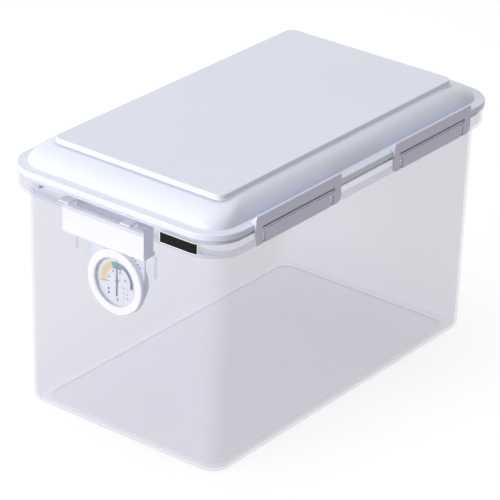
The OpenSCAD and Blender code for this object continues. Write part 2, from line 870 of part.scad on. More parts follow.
module gauge_hanger() {
    top = gauge_drop;
    color("aliceblue") {
        at_gauge()
            difference() {
                translate([0, 0, -hanger_t])
                    linear_extrude(hanger_t)
                        difference() {
                            union() {
                                circle(bezel_r, $fn = 96);
                                translate([-bezel_r, 0])
                                    square([2 * bezel_r, top]);
                            }
                            circle(housing_r + housing_gap, $fn = 96);
                            for (i = [0 : 3])
                                rotate(dot_first + i * dot_step)
                                    translate([dot_ring, 0])
                                        circle(dot_r, $fn = 24);
                        }
            }
        translate([gauge_x - bezel_r, plate_y, case_z - hanger_t])
            cube([2 * bezel_r, hanger_flange, hanger_t]);
        each_tab()
            translate([-tab_w / 2, -tab_t / 2, -hanger_t])
                cube([tab_w, tab_t, hanger_t + case_wall + tab_rise]);
    }
}

module gauge_housing() {
    inner_r = housing_r - housing_wall;
    seat_r = inner_r - dial_seat;
    vent_ring = 0.7 * housing_r;
    color("white")
        at_gauge()
            difference() {
                translate([0, 0, -housing_d])
                    cylinder(r = housing_r, h = housing_d, $fn = 96);
                translate([0, 0, -dial_back])
                    cylinder(r = inner_r, h = dial_back + past, $fn = 96);
                translate([0, 0, -housing_d + housing_wall])
                    cylinder(r = seat_r, h = housing_d, $fn = 96);
                for (i = [0 : back_vents - 1])
                    rotate(360 * (i + 0.5) / back_vents)
                        translate([vent_ring, 0, -housing_d - past])
                            cylinder(r = back_vent_r, h = housing_wall + 2 * past, $fn = 24);
            }
}

module gauge_bezel() {
    seat_r = window_r + lens_lap;
    lens_top = lens_z + lens_t;
    color("white")
        at_gauge()
            rotate_extrude($fn = 96)
                polygon(concat(
                    [[seat_r, 0], [bezel_r, 0]],
                    arc(bezel_r - bezel_crown_r, bezel_h - bezel_crown_r, bezel_crown_r, 0, 90),
                    arc(seat_r, bezel_h - bezel_lip_r, bezel_lip_r, 90, 150),
                    [[window_r, lens_top], [seat_r, lens_top]]
                ));
}

module gauge_window() {
    color("white", 0.3)
        at_gauge()
            translate([0, 0, lens_z])
                cylinder(r = window_r + lens_lap, h = lens_t, $fn = 96);
}

module gauge_dial() {
    color("white")
        at_gauge()
            translate([0, 0, -dial_back])
                difference() {
                    cylinder(r = dial_r, h = dial_t, $fn = 96);
                    translate([0, 0, -past])
                        cylinder(r = dial_hole_r, h = dial_t + 2 * past);
                }
}

module gauge_pointer() {
    color("black")
        at_gauge()
            translate([0, 0, pointer_z])
                difference() {
                    union() {
                        cylinder(r = hub_r, h = pointer_t);
                        linear_extrude(pointer_t)
                            polygon([
                                [-pointer_half_w / 2, pointer_tip], [pointer_half_w / 2, pointer_tip],
                                [pointer_half_w, 0], [pointer_half_w, -pointer_tail],
                                [-pointer_half_w, -pointer_tail], [-pointer_half_w, 0]
                            ]);
                    }
                    translate([0, 0, -past])
                        cylinder(r = arbor_r, h = pointer_t + 2 * past);
                }
}

module gauge_arbor() {
    color("goldenrod")
        at_gauge()
            translate([0, 0, bridge_z - arbor_end])
                cylinder(r = arbor_r, h = pointer_z + pointer_t - bridge_z + 1.5 * arbor_end);
}

module humidity_coil() {
    steps = 24 * coil_turns;
    function turn(i, offset) = let (a = 360 * coil_turns * i / steps,
                                    r = coil_start + coil_pitch * coil_turns * i / steps + offset)
        [r * cos(a), r * sin(a)];
    color("peru")
        at_gauge()
            translate([0, 0, coil_z])
                linear_extrude(coil_w)
                    polygon(concat([for (i = [0 : steps]) turn(i, 0)],
                                   [for (i = [steps : -1 : 0]) turn(i, coil_t)]));
}

module gauge_bridge() {
    color("silver")
        at_gauge()
            translate([0, 0, bridge_z])
                difference() {
                    union() {
                        linear_extrude(bridge_t) {
                            square([2 * bridge_reach, bridge_w], center = true);
                            for (s = [-1, 1])
                                translate([s * bridge_reach, 0])
                                    circle(bridge_w / 2);
                        }
                        for (s = [-1, 1])
                            translate([s * bridge_reach, 0, 0])
                                cylinder(r = post_r, h = -dial_back - bridge_z);
                    }
                    translate([0, 0, -past])
                        cylinder(r = arbor_r + arbor_gap, h = bridge_t + 2 * past);
                    for (s = [-1, 1])
                        translate([s * bridge_reach, 0, -past])
                            cylinder(r = screw_r, h = screw_l + past);
                }
}

module bridge_screws() {
    color("dimgray")
        at_gauge()
            for (s = [-1, 1])
                translate([s * bridge_reach, 0, bridge_z]) {
                    cylinder(r = screw_r, h = screw_l);
                    translate([0, 0, -screw_head_h])
                        cylinder(r = screw_head_r, h = screw_head_h);
                }
}

body_tub();
front_label();
lid_shell();
lid_lip();
lid_keepers();
lid_seal();
latch_front_right();
latch_rear_right();
latch_front_left();
latch_rear_left();
case_tray();
case_cover();
silica_pouches();
gauge_hanger();
gauge_housing();
gauge_bezel();
gauge_window();
gauge_dial();
gauge_pointer();
gauge_arbor();
humidity_coil();
gauge_bridge();
bridge_screws();
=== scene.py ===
import math

import bpy
import bmesh
from mathutils import Matrix, Vector, noise

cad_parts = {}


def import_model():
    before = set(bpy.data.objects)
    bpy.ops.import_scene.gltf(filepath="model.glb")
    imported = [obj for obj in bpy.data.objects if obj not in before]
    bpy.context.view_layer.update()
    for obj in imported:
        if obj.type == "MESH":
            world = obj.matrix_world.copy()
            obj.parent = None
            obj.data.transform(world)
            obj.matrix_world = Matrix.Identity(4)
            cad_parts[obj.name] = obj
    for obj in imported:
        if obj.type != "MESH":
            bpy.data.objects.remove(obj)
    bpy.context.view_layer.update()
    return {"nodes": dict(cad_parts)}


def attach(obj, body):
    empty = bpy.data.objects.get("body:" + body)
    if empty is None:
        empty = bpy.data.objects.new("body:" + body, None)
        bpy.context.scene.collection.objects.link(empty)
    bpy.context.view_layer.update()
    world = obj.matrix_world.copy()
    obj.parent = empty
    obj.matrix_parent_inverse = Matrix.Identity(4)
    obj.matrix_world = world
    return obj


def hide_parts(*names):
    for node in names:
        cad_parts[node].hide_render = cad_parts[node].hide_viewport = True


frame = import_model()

MM = 0.001
nodes = frame["nodes"]

# Sizes of the box, in mm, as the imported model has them.
# Lid: outline, parting plane, then the heights of its lip, dome and plateau
LID_W, LID_L, LID_R = 276, 467, 38.5
PART_Z, LIP_H, DOME_H, PLATEAU_H = 260, 6.4, 17.9, 4.9
LEDGE_Z = PART_Z + LIP_H
PLATEAU_Z = LEDGE_Z + DOME_H
TOP_Z = PLATEAU_Z + PLATEAU_H
# Lid: ledge round the dome, the dome's foot and how far it leans in, plateau, wall
LEDGE_W, DOME_R = 11.6, 26
DOME_SIDE, DOME_END, DOME_DR = 21, 48, 10.5
PLATEAU_W, PLATEAU_L, PLATEAU_R = 213, 385.8, 10
LID_WALL = 2.6
# Lid: depth and half length of the pockets that the latches grip, and the pockets' middles along
# each long side (1 is right, -1 left)
GRIP_IN, POCKET = 4.8, 68.5
LATCH_MIDS = {1: (-114.5, 109.5), -1: (-109.5, 114.5)}
# Tub: heights of brim, collar and shelf, then the walls' outline at the collar (half width, half
# length, corner radius) and how much each narrows to the floor, wall, foot, collar, latch pins
BRIM_Z, COLLAR_Z, SHELF_Z = 259.5, 240, 243
WALL_W, WALL_L, WALL_R = 129.75, 216.2, 25
TAPER_W, TAPER_L, TAPER_R = 4.45, 0.7, 3
WALL, FLOOR_T, BASE_R = 2.8, 3, 7.4
FOOT_IN, FOOT_H, FOOT_R = 15.4, 1.2, 14.6
COLLAR_IN, COLLAR_R, MOUTH_IN = 1, 3.5, 3.8
PIN_X, PIN_Z = 139, 245.2
# Gauge: middle of the dial's face, print on it, holes of its hanger (angles in degrees)
GAUGE = (-8.5, -208.489, 168.4)
DIAL_SINK, PRINT_SINK, PRINT_T = 0.3, 0.02, 0.06
SCALE_END, BAND_END, BAND_R = 101, 22, 20.5
WIDE_BAND_R, SLIM_BAND_R = 13.4, 16.8
DOT_RING, DOT_FIRST, DOT_STEP, DOTS = 37.5, 39, 6.4, 4
# Desiccant case and its pouches
CASE_X, CASE_Y, CASE_Z = -23, -213.096, 204.3
POUCH_X = 25


# ---------- materials ----------

def socket(node, name, value):
    node.inputs[name].default_value = value


def plastic(name, rgb, rough, alpha=1.0, var=0.02, grain=1400, bump=0.05, blotch=9, spec=0.5,
            metal=0.0, sheen=0.0, lamps_pass=0.0):
    """Moulded plastic: fine grain as bump, slow changes of colour and of roughness.

    lamps_pass is the share of lamp light that the plastic lets through to what it covers.
    """
    low_at, high_at, rough_swing, relief_depth = 0.3, 0.7, 0.05, 0.0002
    mat = bpy.data.materials.new(name)
    mat.use_nodes = True
    tree = mat.node_tree
    links = tree.links
    shader = tree.nodes["Principled BSDF"]
    place = tree.nodes.new("ShaderNodeTexCoord")
    fine = tree.nodes.new("ShaderNodeTexNoise")
    socket(fine, "Scale", grain)
    socket(fine, "Detail", 3)
    slow = tree.nodes.new("ShaderNodeTexNoise")
    socket(slow, "Scale", blotch)
    socket(slow, "Detail", 4)
    for tex in (fine, slow):
        links.new(place.outputs["Object"], tex.inputs["Vector"])
    ramp = tree.nodes.new("ShaderNodeValToRGB")
    low, high = ramp.color_ramp.elements
    low.position, high.position = low_at, high_at
    low.color = [c * (1 - var) for c in rgb] + [1]
    high.color = [min(1, c * (1 + var)) for c in rgb] + [1]
    links.new(slow.outputs["Fac"], ramp.inputs["Fac"])
    links.new(ramp.outputs["Color"], shader.inputs["Base Color"])
    gloss = tree.nodes.new("ShaderNodeMapRange")
    socket(gloss, "From Min", low_at)
    socket(gloss, "From Max", high_at)
    socket(gloss, "To Min", max(0.02, rough - rough_swing))
    socket(gloss, "To Max", rough + rough_swing)
    links.new(slow.outputs["Fac"], gloss.inputs["Value"])
    links.new(gloss.outputs["Result"], shader.inputs["Roughness"])
    relief = tree.nodes.new("ShaderNodeBump")
    socket(relief, "Strength", bump)
    socket(relief, "Distance", relief_depth)
    links.new(fine.outputs["Fac"], relief.inputs["Height"])
    links.new(relief.outputs["Normal"], shader.inputs["Normal"])
    socket(shader, "Specular IOR Level", spec)
    socket(shader, "Metallic", metal)
    socket(shader, "Sheen Weight", sheen)
    socket(shader, "Alpha", alpha)
    if lamps_pass:
        rays = tree.nodes.new("ShaderNodeLightPath")
        open_way = tree.nodes.new("ShaderNodeBsdfTransparent")
        socket(open_way, "Color", (lamps_pass, lamps_pass, lamps_pass, 1))
        mix = tree.nodes.new("ShaderNodeMixShader")
        links.new(rays.outputs["Is Shadow Ray"], mix.inputs[0])
        links.new(shader.outputs[0], mix.inputs[1])
        links.new(open_way.outputs[0], mix.inputs[2])
        links.new(mix.outputs[0], tree.nodes["Material Output"].inputs["Surface"])
    return mat


def srgb(*screen):
    """Linear colour of an 8-bit screen colour."""
    return [c / 12.92 if c <= 0.04045 else ((c + 0.055) / 1.055) ** 2.4
            for c in (level / 255 for level in screen)]


CLEAR = plastic("clear_plastic", srgb(196, 196, 222), 0.22, alpha=0.15, var=0.015, grain=500,
                bump=0.03, lamps_pass=0.96)
LID = plastic("lid_plastic", srgb(226, 230, 243), 0.38, var=0.012, lamps_pass=0.55)
LATCH = plastic("latch_plastic", srgb(224, 221, 240), 0.36)
WHITE = plastic("white_plastic", srgb(250, 250, 252), 0.42, var=0.01)
RUBBER = plastic("seal_rubber", srgb(112, 110, 120), 0.7, var=0.04, grain=900, bump=0.2)
FILM = plastic("label_film", srgb(9, 9, 11), 0.5, var=0.1, grain=2500, spec=0.12)
FILM_LINE = plastic("label_line", srgb(250, 250, 250), 0.4)
HANGER = plastic("hanger_plastic", srgb(228, 231, 241), 0.3, alpha=0.7, lamps_pass=0.8)
WINDOW = plastic("window_plastic", srgb(245, 247, 250), 0.05, alpha=0.06, bump=0.01,
                 lamps_pass=0.98)
CARD = plastic("dial_paper", srgb(240, 240, 250), 0.75, grain=6000, bump=0.08)
ENAMEL = plastic("pointer_metal", srgb(24, 24, 34), 0.35, var=0.1)
BRASS = plastic("brass", srgb(222, 184, 110), 0.28, metal=1.0, grain=3000)
COIL = plastic("coil_metal", srgb(196, 158, 104), 0.4, metal=1.0, grain=3000)
STEEL = plastic("steel", srgb(200, 200, 204), 0.3, metal=1.0, grain=4000)
YELLOW = plastic("print_yellow", srgb(240, 214, 116), 0.6, var=0.04)
TEAL = plastic("print_teal", srgb(34, 128, 122), 0.6, var=0.04)
NAVY = plastic("print_navy", srgb(16, 26, 98), 0.6, var=0.04)
# Dark ink of the dial's print, also used as painted shade in the holes of the gauge's hanger
INK_AND_SHADE = plastic("print_ink_and_hole_shade", srgb(10, 10, 18), 0.6, var=0.08)


def pouch_cloth():
    """Non-woven cloth of the silica-gel pouches: a fine nap over the grains inside."""
    mat = plastic("pouch_fabric", srgb(238, 237, 232), 0.85, var=0.03, grain=2600, bump=0.35,
                  blotch=60, sheen=0.2)
    tree = mat.node_tree
    grains = tree.nodes.new("ShaderNodeTexVoronoi")
    socket(grains, "Scale", 420)
    under = tree.nodes.new("ShaderNodeBump")
    socket(under, "Strength", 0.5)
    socket(under, "Distance", 0.0006)
    relief = [n for n in tree.nodes if n.bl_idname == "ShaderNodeBump"][0]
    place = [n for n in tree.nodes if n.bl_idname == "ShaderNodeTexCoord"][0]
    tree.links.new(place.outputs["Object"], grains.inputs["Vector"])
    tree.links.new(grains.outputs["Distance"], under.inputs["Height"])
    tree.links.new(under.outputs["Normal"], relief.inputs["Normal"])
    return mat


POUCH = pouch_cloth()

NODE_LOOKS = {
    "front_label": FILM, "lid_seal": RUBBER,
    "latch_front_right": LATCH, "latch_rear_right": LATCH,
    "latch_front_left": LATCH, "latch_rear_left": LATCH,
    "case_tray": WHITE, "case_cover": WHITE, "gauge_hanger": HANGER, "gauge_housing": WHITE,
    "gauge_bezel": WHITE, "gauge_window": WINDOW, "gauge_dial": CARD, "gauge_pointer": ENAMEL,
    "gauge_arbor": BRASS, "humidity_coil": COIL, "gauge_bridge": STEEL, "bridge_screws": STEEL,
}
for name, mat in NODE_LOOKS.items():
    slots = nodes[name].data.materials
    slots.clear()
    slots.append(mat)


# ---------- mesh helpers ----------

def link(name, data):
    """A new object in the scene."""
    obj = bpy.data.objects.new(name, data)
    bpy.context.scene.collection.objects.link(obj)
    return obj


def piece(name, verts, faces, mat, body, sharp=32, weighted=True):
    """A mesh piece from points in mm, smooth but for its sharp edges, riding on a body."""
    mesh = bpy.data.meshes.new(name)
    mesh.from_pydata([(x * MM, y * MM, z * MM) for x, y, z in verts], [], faces)
    bm = bmesh.new()
    bm.from_mesh(mesh)
    bmesh.ops.remove_doubles(bm, verts=bm.verts, dist=1e-7)
    bmesh.ops.recalc_face_normals(bm, faces=bm.faces)
    bm.to_mesh(mesh)
    bm.free()
    mesh.validate()
    mesh.polygons.foreach_set("use_smooth", [True] * len(mesh.polygons))
    mesh.set_sharp_from_angle(angle=math.radians(sharp))
    mesh.materials.append(mat)
    obj = link(name, mesh)
    if weighted:
        flat = obj.modifiers.new("flat", "WEIGHTED_NORMAL")
        flat.keep_sharp = True
    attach(obj, body)
    return obj


def columns(right, left):
    """Places round a rounded rectangle, counter-clockwise from its right rear corner.

    Each is (x, y, fixed, angle). In a corner, x and y are its signs and angle the place on its
    arc. On a side, fixed names the axis that the side is square to: along it the place is a sign,
    and along the other axis a share of the straight. right and left are the shares on the two
    long sides, from the front.
    """
    corner_steps = 14
    short = (-0.5, 0, 0.5)
    corners = ((1, 1), (-1, 1), (-1, -1), (1, -1))
    rear = [(-share, 1) for share in short]
    front = [(share, -1) for share in short]
    down_left = [(-1, share) for share in reversed(left)]
    up_right = [(1, share) for share in right]
    sides = ((rear, "y"), (down_left, "x"), (front, "y"), (up_right, "x"))
    cols = []
    for quarter, ((sx, sy), (run, fixed)) in enumerate(zip(corners, sides)):
        for i in range(corner_steps + 1):
            cols.append((sx, sy, None, math.radians(90 * (quarter + i / corner_steps))))
        cols.extend((a, b, fixed, None) for a, b in run)
    return cols


def ring(cols, hw, hl, r, z):
    """The columns' points on one outline, from its half width, half length and corner radius."""
    pts = []
    for a, b, fixed, angle in cols:
        if fixed is None:
            x = a * (hw - r) + r * math.cos(angle)
            y = b * (hl - r) + r * math.sin(angle)
        elif fixed == "x":
            x, y = a * hw, b * (hl - r)
        else:
            x, y = a * (hw - r), b * hl
        pts.append((x, y, z))
    return pts


def lid_outline(cols, z, inset):
    """The lid's outline moved in by inset; the tub's collar follows it too."""
    return ring(cols, LID_W / 2 - inset, LID_L / 2 - inset, LID_R - inset, z)


def quarter_turn(steps):
    """Cosine and sine from 0 to 90 degrees in equal steps, for rounded edges."""
    angles = [math.radians(90 * k / steps) for k in range(steps + 1)]
    return [(math.cos(a), math.sin(a)) for a in angles]


def loft(rings):
    """A closed solid through rings of points, with a cap on each end."""
    n = len(rings[0])
    last = (len(rings) - 1) * n
    verts = [p for points in rings for p in points]
    faces = []
    for a in range(0, last, n):
        for i in range(n):
            j = (i + 1) % n
            faces.append((a + i, a + j, a + n + j, a + n + i))
    faces.append(tuple(reversed(range(n))))
    faces.append(tuple(range(last, last + n)))
    return verts, faces


def add_prism(verts, faces, outline, place):
    """Adds a closed prism: an outline in its own plane, and place(u, v, end) for the two ends."""
    base = len(verts)
    n = len(outline)
    for end in (0, 1):
        verts.extend(place(u, v, end) for u, v in outline)
    faces.append(tuple(base + i for i in reversed(range(n))))
    faces.append(tuple(base + n + i for i in range(n)))
    for i in range(n):
        j = (i + 1) % n
        faces.append((base + i, base + j, base + n + j, base + n + i))


def add_strip(verts, faces, sections):
    """Adds a closed strip through sections of four points each."""
    base = len(verts)
    end = base + 4 * (len(sections) - 1)
    for section in sections:
        verts.extend(section)
    for a in range(base, end, 4):
        for k in range(4):
            m = (k + 1) % 4
            faces.append((a + k, a + m, a + 4 + m, a + 4 + k))
    faces.append((base, base + 3, base + 2, base + 1))
    faces.append((end, end + 1, end + 2, end + 3))


def arc(x, y, r, start, end, steps):
    """Points on an arc, both ends included, angles in degrees."""
    angles = [math.radians(start + (end - start) * i / steps) for i in range(steps + 1)]
    return [(x + r * math.cos(a), y + r * math.sin(a)) for a in angles]


# ---------- tub ----------

def narrowing(z):
    """Share of the walls' taper at a height: none at the collar, all of it at the floor."""
    return 1 - z / COLLAR_Z


def wall_half_l(z):
    return WALL_L - TAPER_L * narrowing(z)


def tub():
    """The clear tub: walls, collar with bead and brim, shelf, ribs and the latches' ears."""
    even = [i / 8 for i in range(-7, 8)]
    cols = columns(even, even)
    rings = []
    round_steps, under_collar = 8, 0.2

    def wall_ring(z, inset):
        rings.append(ring(cols, WALL_W - TAPER_W * narrowing(z) - inset, wall_half_l(z) - inset,
                          WALL_R - TAPER_R * narrowing(z) - inset, z))

    def collar_ring(z, inset):
        rings.append(lid_outline(cols, z, inset))

    foot = (WALL_W - TAPER_W - FOOT_IN, WALL_L - TAPER_L - FOOT_IN, FOOT_R)
    rings.append(ring(cols, *foot, FOOT_H))
    rings.append(ring(cols, *foot, 0))
    for c, s in quarter_turn(round_steps):
        wall_ring(BASE_R * (1 - c), BASE_R * (1 - s))
    heights = (60, 120, 180)
    for z in heights:
        wall_ring(z, 0)
    wall_ring(COLLAR_Z - under_collar, 0)
    # collar, with a bead that stands proud under the brim
    bead_out, bead_low, bead_edge, bevel, mouth_bevel = 0.8, 2.4, 2.0, 0.4, 0.3
    collar_ring(COLLAR_Z, COLLAR_IN + COLLAR_R)
    for c, s in quarter_turn(round_steps)[1:]:
        collar_ring(COLLAR_Z + COLLAR_R * (1 - c), COLLAR_IN + COLLAR_R * (1 - s))
    collar_ring(BRIM_Z - bead_low, COLLAR_IN)
    collar_ring(BRIM_Z - bead_edge, COLLAR_IN - bead_out)
    collar_ring(BRIM_Z - bevel, COLLAR_IN - bead_out)
    collar_ring(BRIM_Z, COLLAR_IN - bevel)
    collar_ring(BRIM_Z, MOUTH_IN - mouth_bevel)
    collar_ring(BRIM_Z - mouth_bevel, MOUTH_IN)
    # inside: mouth, shelf, wall and floor
    shelf_r, lip_r = 0.8, 0.6
    collar_ring(SHELF_Z + shelf_r, MOUTH_IN)
    collar_ring(SHELF_Z, MOUTH_IN + shelf_r)
    wall_ring(SHELF_Z, WALL - lip_r)
    wall_ring(SHELF_Z - lip_r, WALL)
    for z in reversed(heights):
        wall_ring(z, WALL)
    edge = BASE_R - WALL
    for c, s in reversed(quarter_turn(round_steps)):
        wall_ring(FLOOR_T + edge * (1 - c), WALL + edge * (1 - s))
    verts, faces = loft(rings)
    add_ribs(verts, faces)
    add_ears(verts, faces)
    obj = piece("tub_moulding", verts, faces, CLEAR, "tub")
    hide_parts("body_tub")
    return obj


def add_ribs(verts, faces):
    """Two short ribs on the inside of the front wall, each from its place and its length."""
    low, start = GAUGE[2] + 21.5, 0.3
    half, root, shoulder, tip, tip_half = 0.8, -0.6, 2.1, 2.6, 0.45
    outline = [(-half, root), (half, root), (half, shoulder),
               (tip_half, tip), (-tip_half, tip), (-half, shoulder)]
    for x, length in ((-56.5, 13), (43.5, 24)):
        def place(u, v, end):
            z = low + start + end * (length - start)
            return x + u, -(wall_half_l(z) - WALL) + v, z
        add_prism(verts, faces, outline, place)


def add_ears(verts, faces):
    """Hooked ears on the collar that the latches' pins snap into, two for each latch."""
    ear_r, ear_w, ear_h, root = 1.8, 4.6, 9.3, -3.75
    pin_r, pin_start, pin_end = 0.95, 232, -52
    nose_start, nose_end = -40, 30
    mouth, lead_in, shoulder = 0.75, 0.15, 0.7
    from_mid = (-54.85, 52.25)
    hook = ([(root, -ear_r), (-mouth, -ear_r)] + arc(0, 0, pin_r, pin_start, pin_end, 12)
            + [(mouth, -ear_r + lead_in)] + arc(0, 0, ear_r, nose_start, nose_end, 5)
            + [(shoulder * ear_r, shoulder * ear_r + 1), (ear_r - 2, ear_h), (root, ear_h)])
    for side, mids in LATCH_MIDS.items():
        for mid in mids:
            for offset in from_mid:
                y = mid + side * offset

                def place(u, v, end):
                    return side * (PIN_X + u), y + side * (0.5 - end) * ear_w, PIN_Z + v
                add_prism(verts, faces, hook, place)


# ---------- lid ----------

def lid():
    """The lid: skirt, groove, lip with pockets for the latches, dome and plateau."""
    straight = LID_L / 2 - LID_R

    def breaks(side):
        """Shares of the straight where a long side needs points: both edges of each pocket."""
        step, last = 0.02, 0.985
        ends = sorted(m + s * POCKET for m in LATCH_MIDS[side] for s in (-1, 1))
        out = [-last]
        for k, e in enumerate(ends):
            out.extend(((e - step) / straight, (e + step) / straight))
            if k < len(ends) - 1:
                out.extend((e + (ends[k + 1] - e) * t) / straight for t in (0.25, 0.5, 0.75))
        return out + [last]

    cols = columns(breaks(1), breaks(-1))

    def in_pocket(col):
        a, b, fixed, _ = col
        return fixed == "x" and any(abs(b * straight - m) < POCKET for m in LATCH_MIDS[a])

    pocket = [in_pocket(c) for c in cols]
    rings = []

    def lid_ring(z, inset):
        rings.append(lid_outline(cols, z, inset))

    def split_ring(z, inset, pocket_z, pocket_inset):
        plain = lid_outline(cols, z, inset)
        cut = lid_outline(cols, pocket_z, pocket_inset)
        rings.append([c if p else q for c, q, p in zip(cut, plain, pocket)])

    def dome_ring(z, a, inset=0.0):
        lean = 1 - math.cos(math.radians(a))
        rings.append(ring(cols, LID_W / 2 - LEDGE_W - DOME_SIDE * lean - inset,
                          LID_L / 2 - LEDGE_W - DOME_END * lean - inset,
                          DOME_R - DOME_DR * lean - inset * 0.5, z))

    def dome_z(a):
        return LEDGE_Z + DOME_H * math.sin(math.radians(a))

    def plateau_ring(z, inset):
        rings.append(ring(cols, PLATEAU_W / 2 - inset, PLATEAU_L / 2 - inset,
                          PLATEAU_R - inset, z))

    # underside of plateau and dome, from the middle out; the wall thins towards the dome's foot
    under_step, foot_share, foot_up = 0.4, 0.4, 0.5
    inner_top, inner_steps = 84, 8
    plateau_ring(TOP_Z - LID_WALL, LID_WALL)
    plateau_ring(PLATEAU_Z - under_step, LID_WALL)
    for k in range(inner_steps + 1):
        up = 1 - k / inner_steps
        thick = LID_WALL * (foot_share + (1 - foot_share) * up)
        dome_ring(dome_z(inner_top * up) - thick, inner_top * up, LID_WALL)
    dome_ring(PART_Z + foot_up, 0, LID_WALL)
    # cored channel, skirt and the seal's groove, each from its inner to its outer face
    bevel = 0.4
    core_in, core_h = 10.6, 2
    skirt_in, skirt_out, skirt_h = 6.8, 4.8, 6
    groove_in, groove_out, groove_h = 3.7, 1.5, 2.2
    dome_ring(PART_Z, 0, LID_WALL - bevel)
    lid_ring(PART_Z, core_in + bevel)
    lid_ring(PART_Z + bevel, core_in)
    lid_ring(PART_Z + core_h, core_in)
    lid_ring(PART_Z + core_h, skirt_in)
    lid_ring(PART_Z - skirt_h + bevel, skirt_in)
    lid_ring(PART_Z - skirt_h, skirt_in - bevel)
    lid_ring(PART_Z - skirt_h, skirt_out + bevel)
    lid_ring(PART_Z - skirt_h + bevel, skirt_out)
    lid_ring(PART_Z, skirt_out)
    lid_ring(PART_Z, groove_in)
    lid_ring(PART_Z + groove_h, groove_in)
    lid_ring(PART_Z + groove_h, groove_out)
    lid_ring(PART_Z, groove_out)
    # lip: rounded, but a 45 degree slope in the pockets over the latches
    lid_ring(PART_Z, bevel)
    lid_ring(PART_Z + bevel, 0)
    lip_r, lip_steps, slope = 1.5, 8, 0.8 * GRIP_IN
    for k, (c, s) in enumerate(quarter_turn(lip_steps)):
        t = k / lip_steps
        split_ring(LEDGE_Z - lip_r * (1 - s), lip_r * (1 - c),
                   LEDGE_Z - GRIP_IN + slope * t, slope * t)
    split_ring(LEDGE_Z, GRIP_IN, LEDGE_Z, GRIP_IN)
    # fine groove at the dome's foot, as (depth, distance from the dome)
    for deep, away in ((0, 0.7), (0.2, 0.5), (0.5, 0.4), (0.5, 0)):
        lid_ring(LEDGE_Z - deep, LEDGE_W - away)
    # dome, step and plateau
    dome_steps = 24
    for k in range(dome_steps + 1):
        a = 90 * k / dome_steps
        dome_ring(dome_z(a), a)
    step_up, step_out, fillet_out, fillet_up = 0.02, 1.5, 0.35, 0.3
    edge_r, edge_in, edge_steps, top_in = 0.8, 0.4, 6, 3
    plateau_ring(PLATEAU_Z + step_up, -step_out)
    plateau_ring(PLATEAU_Z + step_up, -fillet_out)
    plateau_ring(PLATEAU_Z + fillet_up, 0)
    for c, s in quarter_turn(edge_steps):
        plateau_ring(TOP_Z - edge_r * (1 - s), edge_in + edge_r * (1 - c))
    plateau_ring(TOP_Z, top_in)
    verts, faces = loft(rings)
    obj = piece("lid_moulding", verts, faces, LID, "lid")
    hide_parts("lid_shell", "lid_lip", "lid_keepers")
    return obj


# ---------- silica-gel pouches ----------

def pouch(name, cx, seed):
    """A flat pillow of cloth with a crimped seam all round, plumper where the grains settle."""
    w, h, t = 47, 27, 5.5
    nx, nz = 56, 34
    seam, seam_t = 2.6, 0.28
    crimp_h, crimp_pitch = 0.08, 1.3
    rise_u, rise_v, roundness, flatter = 10, 8, 0.6, 0.45
    top_slack, crease_t, crease_scale = 0.22, 0.16, 0.22
    end_pull, side_draw = 0.035, 0.025
    floor_gap = 1.9
    mid_y = CASE_Y + floor_gap + t / 2
    mid_z = CASE_Z + floor_gap + h / 2

    def half_t(u, v):
        du, dv = w / 2 - abs(u), h / 2 - abs(v)
        if du <= seam or dv <= seam:
            return seam_t + crimp_h * math.sin(2 * math.pi * (u + v) / crimp_pitch)
        a = min(1, (du - seam) / rise_u)
        b = min(1, (dv - seam) / rise_v)
        swell = (1 - (1 - a) ** 2) ** roundness * (1 - (1 - b) ** 2) ** roundness
        sag = 1 - top_slack * (v / (h / 2) + 1) / 2
        crease = crease_t * noise.noise(Vector((u * crease_scale, v * crease_scale, seed)))
        return seam_t + (t / 2 - flatter) * swell * sag + crease * swell

    verts, faces = [], []
    for side in (-1, 1):
        for j in range(nz + 1):
            for i in range(nx + 1):
                u, v = w * (i / nx - 0.5), h * (j / nz - 0.5)
                pull = 1 - end_pull * (1 - (2 * u / w) ** 2) * abs(2 * v / h) ** 3
                draw = 1 - side_draw * (1 - (2 * v / h) ** 2) * abs(2 * u / w) ** 3
                verts.append((cx + u * draw, mid_y + side * half_t(u, v), mid_z + v * pull))

    def at(side, i, j):
        return side * (nx + 1) * (nz + 1) + j * (nx + 1) + i

    for s in (0, 1):
        for j in range(nz):
            for i in range(nx):
                faces.append((at(s, i, j), at(s, i + 1, j), at(s, i + 1, j + 1), at(s, i, j + 1)))
    rim = ([(i, 0) for i in range(nx)] + [(nx, j) for j in range(nz)]
           + [(i, nz) for i in range(nx, 0, -1)] + [(0, j) for j in range(nz, 0, -1)])
    for k, (i, j) in enumerate(rim):
        i2, j2 = rim[(k + 1) % len(rim)]
        faces.append((at(0, i, j), at(0, i2, j2), at(1, i2, j2), at(1, i, j)))
    obj = piece(name, verts, faces, POUCH, "tub", sharp=70, weighted=False)
    smooth = obj.modifiers.new("smooth", "SUBSURF")
    smooth.levels = smooth.render_levels = 1
    return obj


# ---------- label line and dial print ----------

def label_line():
    """The thin light line along the label's edge, wrapped round the collar's corner with it."""
    x0, x1, z0, z1 = 64.5, 110, 243.5, 255.5
    line, sunk, proud = 0.7, -0.02, 0.05
    inset = 0.7
    hl, r = LID_L / 2 - inset, LID_R - inset
    corner_x, corner_y = LID_W / 2 - LID_R, -(LID_L / 2 - LID_R)

    def at(x, z, out):
        if x <= corner_x:
            return x, -hl - out, z
        s = math.asin(min(1, (x - corner_x) / r))
        return corner_x + (r + out) * math.sin(s), corner_y - (r + out) * math.cos(s), z

    verts, faces = [], []

    def line_strip(xa, xb, za, zb, parts):
        edges = ((za, sunk), (zb, sunk), (zb, proud), (za, proud))
        places = [xa + (xb - xa) * i / parts for i in range(parts + 1)]
        add_strip(verts, faces, [[at(x, z, out) for z, out in edges] for x in places])

    for z in (z0, z1 - line):
        line_strip(x0, x1, z, z + line, 40)
    for x in (x0, x1 - line):
        line_strip(x, x + line, z0, z1, 2)
    return piece("label_line", verts, faces, FILM_LINE, "tub", weighted=False)


